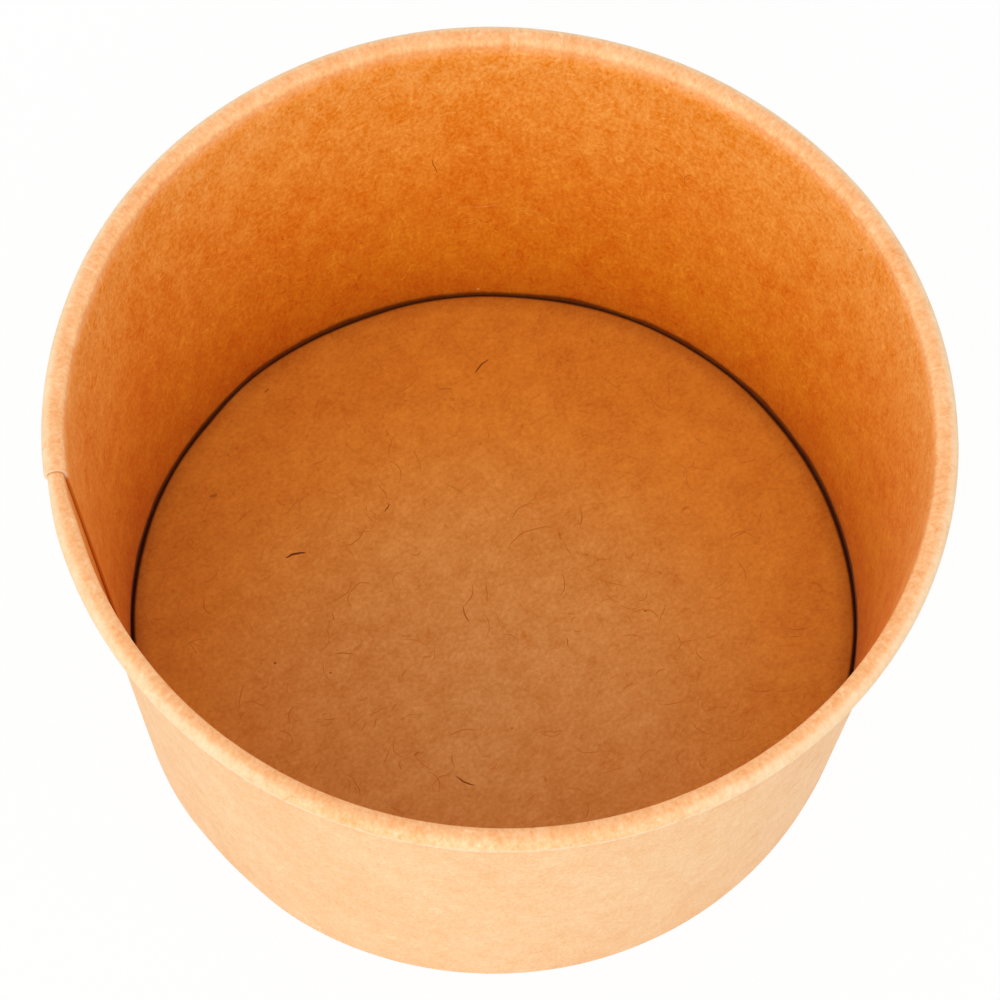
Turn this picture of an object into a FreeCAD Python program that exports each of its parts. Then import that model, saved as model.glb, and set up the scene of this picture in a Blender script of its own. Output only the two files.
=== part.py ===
"""A round, wide-mouthed paper tub for ice cream, made of two pieces of kraft board.

The side wall is one fan-shaped blank wrapped into a cone. Its two ends lap over each other in a
glued side seam, its top edge is rolled outwards into a bead, and its bottom edge is folded inwards
and up into a hem. The base disc is a second blank with its edge turned down into a flange, and the
hem grips that flange. Sizes are in millimetres and angles in degrees.

The frame: the origin is the centre of the foot on the table, +Z points up out of the mouth, and
azimuths are counted from +X towards +Y.
"""

import FreeCAD, Part
import math
import os

import Sketcher
from FreeCAD import Placement, Rotation, Vector

SIZES = {
    "rim_diameter": (115.0, "over the rolled bead"),
    "base_diameter": (97.0, "outside of the wall, where its slope meets the table"),
    "tub_height": (68.0, "table to the top of the bead"),
    "wall_board": (0.4, "thickness of the side wall's board"),
    "base_board": (0.4, "thickness of the base disc's board"),
    "bead_bore": (2.1, "hollow inside the rolled bead"),
    "curl_turn": (295.0, "how far the bead is rolled, from the wall to its raw edge"),
    "fold_radius": (0.3, "outer corners of the folded foot"),
    "floor_height": (8.5, "table to the upper face of the base disc"),
    "flange_bend": (0.5, "inner radius of the turned-down edge of the disc"),
    "flange_gap": (0.5, "inside of the fold up to the raw edge of the flange"),
    "hem_gap": (1.4, "raw edge of the hem up to the height where the disc starts to bend"),
    "seal_film": (0.03, "melted coating between the flange and the board on each side"),
    "seam_azimuth": (190.0, "where the raw edge inside the side seam stands"),
    "seam_lap": (8.0, "width of the seam along the rim, where the board is double"),
    "seam_ramp": (9.0, "length along the rim over which the under layer moves out"),
}
# How far the under layer has moved out by one board, at even steps along the ramp
RAMP_SHARES = (0.0, 0.156, 0.5, 0.844, 1.0)
# Round stretches of the board are drawn as this many short flats, whose corners lie on the true
# circle, because the bead is only 3 mm thick and true rounds there would need a far finer mesh
BEAD_FLATS = 12
FLANGE_FLATS = 4

BEAD_RADIUS = "(Sizes.bead_bore / 2 + Sizes.wall_board)"
HEM_TOP = "Sizes.floor_height - Sizes.base_board - Sizes.flange_bend - Sizes.hem_gap"
SLOT = "(Sizes.base_board + 2 * Sizes.seal_film)"
RAMP_ANGLE = "360 deg * Sizes.seam_ramp / (pi * Sizes.rim_diameter)"
LAP_ANGLE = "360 deg * Sizes.seam_lap / (pi * Sizes.rim_diameter)"

# Which point of an edge a sketch rule is about, and the sketch's own origin and axes
START, END, CENTRE = 1, 2, 3
ORIGIN = (-1, 1)
FOOT_AXIS = -1
TUB_AXIS = -2


def make_sheet(doc):
    """Write the driving sizes into a spreadsheet with an alias for each cell."""
    sheet = doc.addObject("Spreadsheet::Sheet", "Sizes")
    for row, (name, (value, meaning)) in enumerate(SIZES.items(), start=1):
        sheet.set(f"A{row}", name)
        sheet.set(f"B{row}", str(value))
        sheet.set(f"C{row}", meaning)
        sheet.setAlias(f"B{row}", name)
    doc.recompute()


def size(name):
    """The value of one driving size."""
    return SIZES[name][0]


def ramp_angle():
    """How far round the tub the ramp runs, in degrees."""
    return 360 * size("seam_ramp") / (math.pi * size("rim_diameter"))


class Section:
    """A sketch on an upright half plane of the tub: its x is the radius and its y the height."""

    def __init__(self, body, name, azimuth, azimuth_rule):
        """Attach the sketch to the body's own upright plane, turned about the tub's axis."""
        plane = next(item for item in body.Origin.OriginFeatures if item.Role == "XZ_Plane")
        self.sketch = body.newObject("Sketcher::SketchObject", name)
        self.sketch.AttachmentSupport = [(plane, "")]
        self.sketch.MapMode = "FlatFace"
        self.sketch.AttachmentOffset = Placement(Vector(), Rotation(Vector(0, 1, 0), azimuth))
        self.sketch.setExpression("AttachmentOffset.Rotation.Angle", azimuth_rule)
        self.at = {}
        self.curl = size("bead_bore") / 2 + size("wall_board")
        self.curl_centre = (size("rim_diameter") / 2 - self.curl, size("tub_height") - self.curl)
        reach = self.curl_centre[0] - size("base_diameter") / 2
        lean = math.asin(size("bead_bore") / 2 / math.hypot(reach, self.curl_centre[1]))
        self.slope = math.atan2(reach, self.curl_centre[1]) - lean
        self.outward = (math.cos(self.slope), -math.sin(self.slope))

    def behind_wall(self, inset, height):
        """The point that lies an inset behind the wall's outer face, at a height."""
        radius = size("base_diameter") / 2 + height * math.tan(self.slope)
        return (radius - inset / math.cos(self.slope), height)

    def off(self, point, distance):
        """A point moved square to the wall, outwards where the distance is positive."""
        return (point[0] + distance * self.outward[0], point[1] + distance * self.outward[1])

    def line(self, name, start, end, guide=False):
        """Draw a straight edge from (radius, height) to (radius, height)."""
        edge = Part.LineSegment(Vector(*start, 0), Vector(*end, 0))
        self.at[name] = self.sketch.addGeometry(edge, guide)

    def guide_arc(self, name, centre, radius, first, last):
        """Draw a round guide, counter-clockwise between two angles in radians."""
        circle = Part.Circle(Vector(*centre, 0), Vector(0, 0, 1), radius)
        self.at[name] = self.sketch.addGeometry(Part.ArcOfCircle(circle, first, last), True)

    def rule(self, kind, *where):
        """Add a rule between edges, which are given by name and point."""
        places = [self.at.get(item, item) for item in where]
        return self.sketch.addConstraint(Sketcher.Constraint(kind, *places))

    def bind(self, name, value, expression, kind, *where):
        """Add a named dimension that an expression on the sizes drives."""
        index = self.rule(kind, *where, value)
        self.sketch.renameConstraint(index, name)
        self.sketch.setExpression(f"Constraints.{name}", expression)

    def draw_guide(self):
        """Draw the line of the wall's outer face where the board is single.

        It starts where that face would meet the table and touches the hollow of the bead.
        """
        foot = (size("base_diameter") / 2, 0)
        touch = self.off(self.curl_centre, -size("bead_bore") / 2)
        self.line("guide", foot, touch, guide=True)
        self.line("guide_arm", touch, self.curl_centre, guide=True)
        self.rule("Coincident", "guide", END, "guide_arm", START)
        self.rule("Perpendicular", "guide", "guide_arm")
        self.rule("PointOnObject", "guide", START, FOOT_AXIS)
        self.bind(
            "base_radius", foot[0], "Sizes.base_diameter / 2",
            "DistanceX", *ORIGIN, "guide", START,
        )
        self.bind(
            "bead_radius", self.curl_centre[0], f"Sizes.rim_diameter / 2 - {BEAD_RADIUS}",
            "DistanceX", *ORIGIN, "guide_arm", END,
        )
        self.bind(
            "bead_height", self.curl_centre[1], f"Sizes.tub_height - {BEAD_RADIUS}",
            "DistanceY", *ORIGIN, "guide_arm", END,
        )
        self.bind(
            "hollow", size("bead_bore") / 2, "Sizes.bead_bore / 2",
            "Distance", "guide_arm", START, "guide_arm", END,
        )

    def join(self, kind, *pairs):
        """Join the ends of edges, in pairs of (edge, end, edge, end)."""
        for pair in pairs:
            self.rule(kind, *pair)

    def draw_roll(self, centre, face, back, first, turn, count):
        """Draw a bent stretch of board, clockwise from an angle in radians, as even flats.

        Its two faces are face0, face1 and so on, and back0, back1 and so on. Their corners lie on
        spokes from the centre, spoke0 to the last, which are only guides. The caller gives the
        spokes their directions.
        """

        def on_circle(radius, step):
            angle = first - turn * step / count
            return (centre[0] + radius * math.cos(angle), centre[1] + radius * math.sin(angle))

        for step in range(count + 1):
            self.line(f"spoke{step}", centre, on_circle(face, step), guide=True)
        for step in range(count):
            self.line(f"face{step}", on_circle(face, step), on_circle(face, step + 1))
            self.line(f"back{step}", on_circle(back, step), on_circle(back, step + 1))
            self.rule("Coincident", f"face{step}", START, f"spoke{step}", END)
            self.rule("Coincident", f"face{step}", END, f"spoke{step + 1}", END)
            self.rule("Coincident", f"spoke{step + 1}", START, "spoke0", START)
            self.rule("Equal", f"spoke{step + 1}", "spoke0")
            self.rule("PointOnObject", f"back{step}", END, f"spoke{step + 1}")
            self.rule("Parallel", f"back{step}", f"face{step}")
        for step in range(1, count):
            self.rule("Equal", f"face{step}", "face0")
            self.rule("Coincident", f"back{step - 1}", END, f"back{step}", START)
        self.rule("PointOnObject", "back0", START, "spoke0")


def board_section(body, name, azimuth, azimuth_rule, share):
    """Draw the side wall's board in section: bead, wall, folded foot and hem.

    share is 0 for the board by itself and 1 for the layer that laps over its outside, which lies
    one board further out on the wall, and so one board further in inside the bead and the foot.
    """
    section = Section(body, name, azimuth, azimuth_rule)
    board = size("wall_board")
    shift = share * board
    slot = size("base_board") + 2 * size("seal_film")
    fold = size("fold_radius")
    hem_top = size("floor_height") - size("base_board") - size("flange_bend") - size("hem_gap")
    top_angle = math.pi - section.slope
    turn = math.radians(size("curl_turn"))
    face_radius = section.curl - shift
    back_radius = face_radius - board
    last = BEAD_FLATS - 1

    def beside_curl(radius, angle):
        across, up = section.curl_centre
        return (across + radius * math.cos(angle), up + radius * math.sin(angle))

    hem_inset = 2 * board + slot + shift
    outer_fold = section.behind_wall(fold - shift, fold)
    inner_fold = section.behind_wall(hem_inset - fold, fold)
    outer_fold_top = section.off(outer_fold, fold)
    inner_fold_top = section.off(inner_fold, -fold)
    hem_end = section.behind_wall(hem_inset, hem_top)
    hem_back_end = section.off(hem_end, board)
    slot_in = section.behind_wall(hem_inset - board, board)
    slot_out = section.behind_wall(board - shift, board)
    raw_angle = top_angle - turn

    section.draw_guide()
    section.draw_roll(section.curl_centre, face_radius, back_radius, top_angle, turn, BEAD_FLATS)
    section.line(
        "raw_edge", beside_curl(face_radius, raw_angle), beside_curl(back_radius, raw_angle)
    )
    section.line("wall_outer", beside_curl(back_radius, top_angle), outer_fold_top)
    section.guide_arc("outer_fold", outer_fold, fold, -math.pi / 2, -section.slope)
    section.line("outer_corner", outer_fold_top, (outer_fold[0], 0))
    section.line("foot", (outer_fold[0], 0), (inner_fold[0], 0))
    section.guide_arc("inner_fold", inner_fold, fold, top_angle, 1.5 * math.pi)
    section.line("inner_corner", (inner_fold[0], 0), inner_fold_top)
    section.line("hem_face", inner_fold_top, hem_end)
    section.line("hem_edge", hem_end, hem_back_end)
    section.line("hem_back", hem_back_end, slot_in)
    section.line("slot_floor", slot_in, slot_out)
    section.line("wall_inner", slot_out, beside_curl(face_radius, top_angle))

    section.join(
        "Tangent",
        ("wall_outer", END, "outer_fold", END),
        ("outer_fold", START, "foot", START),
        ("foot", END, "inner_fold", END),
        ("inner_fold", START, "hem_face", START),
    )
    section.join(
        "Coincident",
        ("spoke0", START, "guide_arm", END),
        ("wall_inner", END, "face0", START),
        ("wall_outer", START, "back0", START),
        (f"face{last}", END, "raw_edge", START),
        ("raw_edge", END, f"back{last}", END),
        ("wall_outer", END, "outer_corner", START),
        ("outer_corner", END, "foot", START),
        ("foot", END, "inner_corner", START),
        ("inner_corner", END, "hem_face", START),
        ("hem_face", END, "hem_edge", START),
        ("hem_edge", END, "hem_back", START),
        ("hem_back", END, "slot_floor", START),
        ("slot_floor", END, "wall_inner", START),
    )
    for edge in ("wall_outer", "wall_inner", "hem_face", "hem_back"):
        section.rule("Parallel", edge, "guide")
    section.rule("Parallel", "spoke0", "guide_arm")
    section.rule("PointOnObject", "foot", START, FOOT_AXIS)
    section.rule("Horizontal", "foot")
    section.rule("Perpendicular", "hem_edge", "hem_face")
    section.rule("Horizontal", "slot_floor")
    section.rule("Equal", "outer_fold", "inner_fold")
    moved = f"{share} * Sizes.wall_board"
    section.bind(
        "curl_face", face_radius, f"Sizes.bead_bore / 2 + Sizes.wall_board - {moved}",
        "Distance", "spoke0", START, "spoke0", END,
    )
    section.bind(
        "curl_back", back_radius, f"Sizes.bead_bore / 2 - {moved}",
        "Distance", "spoke0", START, "back0", START,
    )
    section.bind(
        "turn", turn / BEAD_FLATS, f"Sizes.curl_turn * 1 deg / {BEAD_FLATS}",
        "Angle", "spoke1", START, "spoke0", START,
    )
    section.bind("fold", fold, "Sizes.fold_radius", "Radius", "outer_fold")
    section.bind("hem", hem_top, HEM_TOP, "DistanceY", *ORIGIN, "hem_edge", START)
    section.bind("floor", board, "Sizes.wall_board", "DistanceY", *ORIGIN, "slot_floor", START)
    section.bind(
        "slot", slot + 2 * shift, f"{SLOT} + 2 * {moved}",
        "Distance", "hem_back", START, "wall_inner",
    )
    section.bind(
        "hem_thickness", board, "Sizes.wall_board",
        "Distance", "hem_edge", START, "hem_edge", END,
    )
    return section.sketch


def revolve(body, name, sketch, angle, reverse):
    """Turn a section about the tub's axis through an angle given by an expression."""
    feature = body.newObject("PartDesign::Revolution", name)
    feature.Profile = (sketch, [""])
    feature.ReferenceAxis = (sketch, ["V_Axis"])
    feature.Reversed = reverse
    feature.setExpression("Angle", angle)
    sketch.Visibility = False
    return feature


def build_side_wall(doc):
    """The side wall: one board, bent round through a full turn and lapped on itself in the seam."""
    body = doc.addObject("PartDesign::Body", "SideWall")
    body.Label = "side_wall"
    steps = len(RAMP_SHARES) - 1
    sketches = []
    for step, share in enumerate(RAMP_SHARES):
        left = 1 - step / steps
        azimuth = size("seam_azimuth") + left * ramp_angle()
        rule = f"Sizes.seam_azimuth * 1 deg + {left} * {RAMP_ANGLE}"
        sketches.append(board_section(body, f"Board{step}", azimuth, rule, share))
    doc.recompute()
    revolve(body, "Wrap", sketches[0], f"360 deg - {RAMP_ANGLE}", False)
    doc.recompute()
    ramp = body.newObject("PartDesign::AdditiveLoft", "Ramp")
    ramp.Profile = (sketches[0], [""])
    ramp.Sections = [(sketch, [""]) for sketch in sketches[1:]]
    doc.recompute()
    revolve(body, "Lap", sketches[-1], LAP_ANGLE, True)
    doc.recompute()
    return body


def build_base_disc(doc):
    """The base disc: flat board whose edge turns down into a flange between wall and hem."""
    body = doc.addObject("PartDesign::Body", "BaseDisc")
    body.Label = "base_disc"
    section = Section(body, "Disc", 0, "0 deg")
    board = size("base_board")
    inset = size("wall_board") + size("seal_film")
    bend = size("flange_bend") + board
    top = size("floor_height")
    centre = section.behind_wall(inset + bend, top - bend)
    flange_end = section.behind_wall(inset, size("wall_board") + size("flange_gap"))
    turn = math.pi / 2 + section.slope
    last = FLANGE_FLATS - 1
    section.draw_guide()
    section.draw_roll(centre, bend, bend - board, math.pi / 2, turn, FLANGE_FLATS)
    section.line("top", (0, top), (centre[0], top))
    section.line("flange_face", section.off(centre, bend), flange_end)
    section.line("flange_edge", flange_end, section.off(flange_end, -board))
    section.line("flange_back", section.off(flange_end, -board), section.off(centre, bend - board))
    section.line("underside", (centre[0], top - board), (0, top - board))
    section.line("middle", (0, top - board), (0, top))
    section.join(
        "Coincident",
        ("top", END, "face0", START),
        (f"face{last}", END, "flange_face", START),
        ("flange_face", END, "flange_edge", START),
        ("flange_edge", END, "flange_back", START),
        ("flange_back", END, f"back{last}", END),
        ("back0", START, "underside", START),
        ("underside", END, "middle", START),
        ("middle", END, "top", START),
    )
    section.rule("Horizontal", "top")
    section.rule("Horizontal", "underside")
    section.rule("PointOnObject", "top", START, TUB_AXIS)
    section.rule("PointOnObject", "underside", END, TUB_AXIS)
    section.rule("Vertical", "spoke0")
    section.rule("Perpendicular", f"spoke{FLANGE_FLATS}", "guide")
    section.rule("Parallel", "flange_face", "guide")
    section.rule("Parallel", "flange_back", "guide")
    section.rule("Perpendicular", "flange_edge", "flange_face")
    section.bind("top_height", top, "Sizes.floor_height", "DistanceY", *ORIGIN, "top", START)
    section.bind(
        "bend", bend, "Sizes.flange_bend + Sizes.base_board",
        "Distance", "spoke0", START, "spoke0", END,
    )
    section.bind(
        "bend_inside", bend - board, "Sizes.flange_bend",
        "Distance", "spoke0", START, "back0", START,
    )
    section.bind(
        "seat", inset, "Sizes.wall_board + Sizes.seal_film",
        "Distance", "flange_face", END, "guide",
    )
    section.bind(
        "raw_edge_height", flange_end[1], "Sizes.wall_board + Sizes.flange_gap",
        "DistanceY", *ORIGIN, "flange_edge", START,
    )
    doc.recompute()
    revolve(body, "DiscTurn", section.sketch, "360 deg", False)
    doc.recompute()
    return body


def check(doc, bodies):
    """Stop if any object failed or any body isn't one valid solid."""
    for item in doc.Objects:
        if "Invalid" in item.State or "Error" in item.State:
            raise RuntimeError(f"{item.Name} failed: {item.State}")
        if item.TypeId == "Sketcher::SketchObject" and not item.FullyConstrained:
            raise RuntimeError(f"{item.Name} isn't fully held by its rules")
    for body in bodies:
        shape = body.Shape
        if shape.isNull() or not shape.isValid() or len(shape.Solids) != 1:
            raise RuntimeError(f"{body.Label} isn't one valid solid")


def main():
    """Build both pieces and write each to its own file."""
    doc = FreeCAD.newDocument("IceCreamTub")
    make_sheet(doc)
    bodies = [build_side_wall(doc), build_base_disc(doc)]
    check(doc, bodies)
    os.makedirs("parts", exist_ok=True)
    for body in bodies:
        body.Shape.exportStep(f"parts/{body.Label}.step")
        print(body.Label, round(body.Shape.Volume, 1), "mm3")


main()
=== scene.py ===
"""A kraft paper ice cream tub, dressed as the photograph shows it.

The tub is two pieces of brown board. The side wall is one long sheet that is wrapped into a cone,
lapped on itself in a side seam, rolled outwards into a bead at the rim and folded up into a hem at
the foot. The base disc sits a little above the table, and its edge is turned down and gripped by
the hem. Both sheets are turned about the tub's axis from their own section.

Sections, tables and patterns are in millimetres, and what the renderer is given is in metres.
Azimuths are counted from +X towards +Y, in degrees in the tables and the sizes.
"""

from __future__ import annotations

import logging
import math
import random
import sys
from dataclasses import dataclass, field
from enum import Enum

import bpy
from mathutils import Matrix, Vector


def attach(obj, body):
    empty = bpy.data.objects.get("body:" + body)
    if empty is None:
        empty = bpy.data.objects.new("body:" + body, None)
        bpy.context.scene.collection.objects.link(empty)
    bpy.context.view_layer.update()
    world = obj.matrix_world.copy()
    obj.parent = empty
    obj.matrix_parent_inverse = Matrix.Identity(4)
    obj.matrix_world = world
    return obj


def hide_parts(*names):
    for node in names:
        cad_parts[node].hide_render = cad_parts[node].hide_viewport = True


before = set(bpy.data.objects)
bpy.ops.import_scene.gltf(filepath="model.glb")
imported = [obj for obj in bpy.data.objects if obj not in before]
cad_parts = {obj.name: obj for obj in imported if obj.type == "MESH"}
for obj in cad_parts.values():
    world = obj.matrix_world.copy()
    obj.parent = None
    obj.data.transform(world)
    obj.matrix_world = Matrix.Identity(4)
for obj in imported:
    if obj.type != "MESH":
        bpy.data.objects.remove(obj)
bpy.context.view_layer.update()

LOG = logging.getLogger("tub")
MM = 0.001
Point = tuple[float, float]
Triple = tuple[float, float, float]
Colour = tuple[float, float, float, float]
Stop = tuple[float, Colour]
Link = bpy.types.NodeSocket
WHITE: Colour = (1.0, 1.0, 1.0, 1.0)
# Where a sheet's layer value counts as its inside, its outside and its cut edge
INSIDE: Point = (0.6, 0.4)
OUTSIDE: Point = (0.4, 0.6)
CUT_EDGE: Point = (1.4, 1.6)
# The wall's pattern and fibres are laid out flat, with lengths along the arc of this radius
ARC_RADIUS = 52.0
# The room between the patterns of a sheet's inside and outside
LAYER_ROOM = 40.0
# How far the lapped end stands out, in thicknesses of board, with a little air under it
RAMP_STEP = 1.04
# Points of the disc that lie closer than this, in metres, become one
WELD = 0.000002
# Edges that turn more than this many degrees stay sharp
CREASE = 50.0
# The sway of the foot fades out up to this height, and towards the axis from this far out
RIM_HEIGHT = 66.0
FOOT_RADIUS = 48.0
# How far the rim stands out of round, by azimuth, and how far all of it is moved in to fit its box
RIM_LEANS: tuple[Point, ...] = (
    (0, 0.0), (18, -0.11), (36, -0.1), (52, -0.26), (63, -0.22), (80, -0.15), (91, 0.01),
    (111, 0.165), (131, 0.23), (146, 0.34), (155, 0.31), (165, 0.14), (180, 0.06), (190, 0.0),
    (199, -0.22), (209, -0.27), (230, -0.18), (255, -0.03), (280, 0.06), (305, 0.14), (330, 0.21),
    (342, 0.165), (351, 0.11), (360, 0.0),
)
RIM_INSET = 0.08
RIM_WOBBLE: tuple[Point, ...] = tuple((azimuth, out - RIM_INSET) for azimuth, out in RIM_LEANS)
# How far the foot stands out of round, by azimuth
FOOT_LEANS: tuple[Point, ...] = (
    (0, 0.5), (15, 0.56), (30, 0.66), (45, 0.68), (60, 0.6), (75, 0.58), (90, 0.27), (105, 0.25),
    (120, -0.02), (135, 0.06), (150, -0.1), (165, 0.06), (180, 0.0), (200, 0.0), (216, -0.2),
    (225, -0.42), (234, -0.25), (246, 0.0), (270, 0.0), (300, 0.0), (325, 0.05), (340, 0.28),
    (360, 0.5),
)
# The disc's turned edge has facets: how far it stands in or out, by azimuth
DISC_FACETS: tuple[Point, ...] = (
    (0, 0.1), (18, -0.12), (39, -0.2), (49, 0.02), (66, 0.15), (79, -0.12), (96, 0.1),
    (112, -0.12), (135, 0.28), (146, -0.05), (154, 0.18), (171, -0.1), (181, 0.06), (202, -0.12),
    (227, 0.12), (248, -0.1), (274, 0.1), (299, -0.12), (324, 0.1), (342, -0.08), (360, 0.1),
)
# Fibres that show on the floor: east, north, length, slant, sag, width and tone
FLOOR_FLECKS: tuple[tuple[float, ...], ...] = (
    (-27.3, 7.3, 2.9, 19, 0.21, 0.35, 1.0), (-15.3, 15.1, 1.4, 66, 0.0, 0.22, 0.7),
    (-3.7, 2.5, 3.5, -108, 0.57, 0.14, 0.45), (-3.8, -0.3, 2.5, -69, -0.21, 0.2, 0.6),
    (-20.0, -7.0, 2.7, 1, 0.07, 0.16, 0.5), (-21.7, -1.6, 1.6, -74, 0.0, 0.14, 0.4),
    (-19.7, 10.7, 4.8, 48, -0.85, 0.14, 0.35), (-20.6, 2.4, 3.9, 53, -0.57, 0.14, 0.35),
    (-2.9, -24.7, 2.7, -23, -0.21, 0.27, 0.8), (-3.3, 37.1, 2.8, 49, 0.14, 0.27, 0.85),
    (-39.1, 15.8, 1.1, 28, 0.0, 0.41, 0.5), (-3.5, -17.8, 4.0, 15, 0.43, 0.14, 0.35),
    (-9.6, -21.1, 1.0, 39, 0.0, 0.19, 0.5), (3.3, 15.2, 3.9, 41, 0.71, 0.14, 0.35),
    (40.6, -0.2, 3.0, 6, -0.28, 0.14, 0.4), (-32.7, 32.2, 1.0, 40, 0.0, 0.22, 0.5),
    (-8.1, 33.3, 1.8, 8, 0.14, 0.16, 0.4), (4.4, 11.3, 6.9, 29, 1.13, 0.14, 0.35),
    (10.7, 14.2, 2.0, 50, -0.43, 0.14, 0.4), (8.7, 4.6, 3.3, -88, 0.57, 0.14, 0.35),
    (9.8, -3.7, 1.2, -88, 0.14, 0.16, 0.5), (-29.2, -8.7, 0.4, 0, 0.0, 0.3, 0.8),
    (20.2, 1.3, 0.4, 0, 0.0, 0.27, 0.6), (3.0, -16.8, 0.3, 0, 0.0, 0.27, 0.6),
    (-21.7, -9.9, 0.4, 0, 0.0, 0.24, 0.5),
)
# Fibres that show inside the wall: azimuth, height, and then as on the floor. Below 0 is pale
WALL_FLECKS: tuple[tuple[float, ...], ...] = (
    (101.2, 40.1, 3.8, -102, 0.1, 0.18, 0.7), (91.8, 24.1, 1.2, -127, 0.0, 0.16, 0.6),
    (125.6, 34.9, 1.1, -115, 0.0, 0.3, 0.8), (94.3, 9.2, 0.5, -143, 0.0, 0.3, -1.0),
    (-2.5, 51.8, 1.8, 119, 0.0, 0.2, -0.9), (93.9, 30.0, 5.7, 177, 0.4, 0.16, -0.5),
    (86.5, 28.7, 3.5, -174, -0.4, 0.14, -0.5), (95.7, 25.9, 2.2, 159, 0.2, 0.14, -0.4),
    (75.0, 36.6, 2.3, -133, 0.2, 0.14, 0.3), (60.9, 34.7, 1.6, 177, 0.0, 0.14, 0.4),
    (68.6, 50.1, 1.0, -165, 0.0, 0.22, 0.5), (192.5, 19.0, 2.2, 20, 0.3, 0.16, -1.0),
)


class Grain(Enum):
    """How a sheet's fibres mostly lie: their direction in degrees, and how far they are drawn out."""

    UPRIGHT = (90.0, 0.7)
    ACROSS = (38.0, 0.85)


class Socket:
    """The value of a node, which takes part in Python arithmetic by adding Math nodes."""

    def __init__(self, graph: Graph, link: Link) -> None:
        """Keep the value's link and the graph that it belongs to."""
        self.graph = graph
        self.link = link

    def math(self, operation: str, *others: Socket | float) -> Socket:
        """Add one Math node that starts from this value and return its result."""
        values = dict(enumerate((self, *others)))
        return self.graph.node("ShaderNodeMath", values, operation=operation)

    def __add__(self, other: Socket | float) -> Socket:
        """Add two values."""
        return self.math("ADD", other)

    def __sub__(self, other: Socket | float) -> Socket:
        """Take a value from this one."""
        return self.math("SUBTRACT", other)

    def __rsub__(self, other: float) -> Socket:
        """Take this value from a number."""
        values = {0: other, 1: self}
        return self.graph.node("ShaderNodeMath", values, operation="SUBTRACT")

    def __mul__(self, other: Socket | float) -> Socket:
        """Multiply two values."""
        return self.math("MULTIPLY", other)

    def __truediv__(self, other: Socket | float) -> Socket:
        """Divide this value by another."""
        return self.math("DIVIDE", other)

    def __pow__(self, other: float) -> Socket:
        """Raise this value to a power."""
        return self.math("POWER", other)

    __radd__ = __add__
    __rmul__ = __mul__

    def highest(self, other: Socket | float) -> Socket:
        """The larger of two values."""
        return self.math("MAXIMUM", other)

    def off_middle(self) -> Socket:
        """How far the value is from the middle of the step of 1 that it lies in."""
        return (self.math("FRACT") - 0.5).math("ABSOLUTE")

    def ramp(self, low: float, high: float) -> Socket:
        """Rise smoothly from 0 at one value to 1 at another.

        Args:
            low: Where the rise starts.
            high: Where it ends. It may be below the start, and then the rise runs downwards.

        Returns:
            A value from 0 to 1.
        """
        values = {"Value": self, "From Min": low, "From Max": high, "To Min": 0.0, "To Max": 1.0}
        return self.graph.node("ShaderNodeMapRange", values, interpolation_type="SMOOTHSTEP")


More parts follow.
